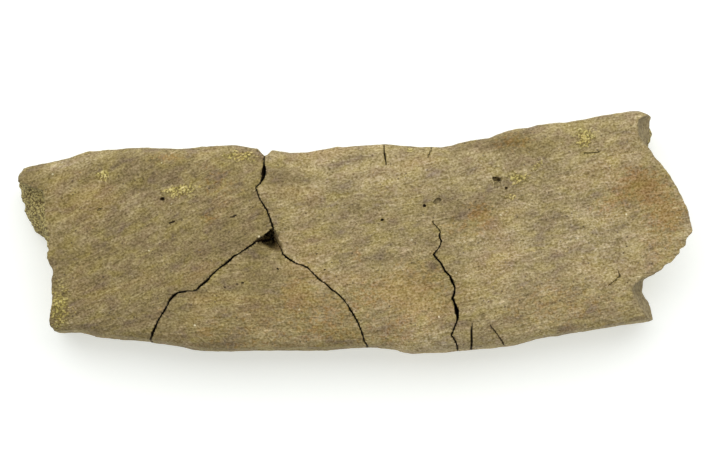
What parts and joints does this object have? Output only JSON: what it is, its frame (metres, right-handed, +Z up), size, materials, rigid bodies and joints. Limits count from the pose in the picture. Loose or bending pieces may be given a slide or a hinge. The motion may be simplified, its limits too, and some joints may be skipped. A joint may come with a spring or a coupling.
{
  "type": "fossil dinosaur rib section",
  "caption": "Flat length of permineralised dinosaur rib shaft, broken off at both ends and refitted along a forked fracture; a specimen that lies on its back.",
  "frame": {"origin": "under the middle of the box around the specimen, at the level that it rests on", "axes": "+X along the shaft towards its pointed broken end, +Y across it towards the upper margin, +Z up out of the broad outer face"},
  "size_m": [0.2118, 0.0768, 0.0226],
  "materials": {
    "fossil_bone": "matt mineralised bone, khaki brown with ochre stains and a fibrous grain"
  },
  "bodies": {
    "root": {"left_fragment": "fossil_bone", "wedge_fragment": "fossil_bone", "right_fragment": "fossil_bone"}
  },
  "joints": []
}
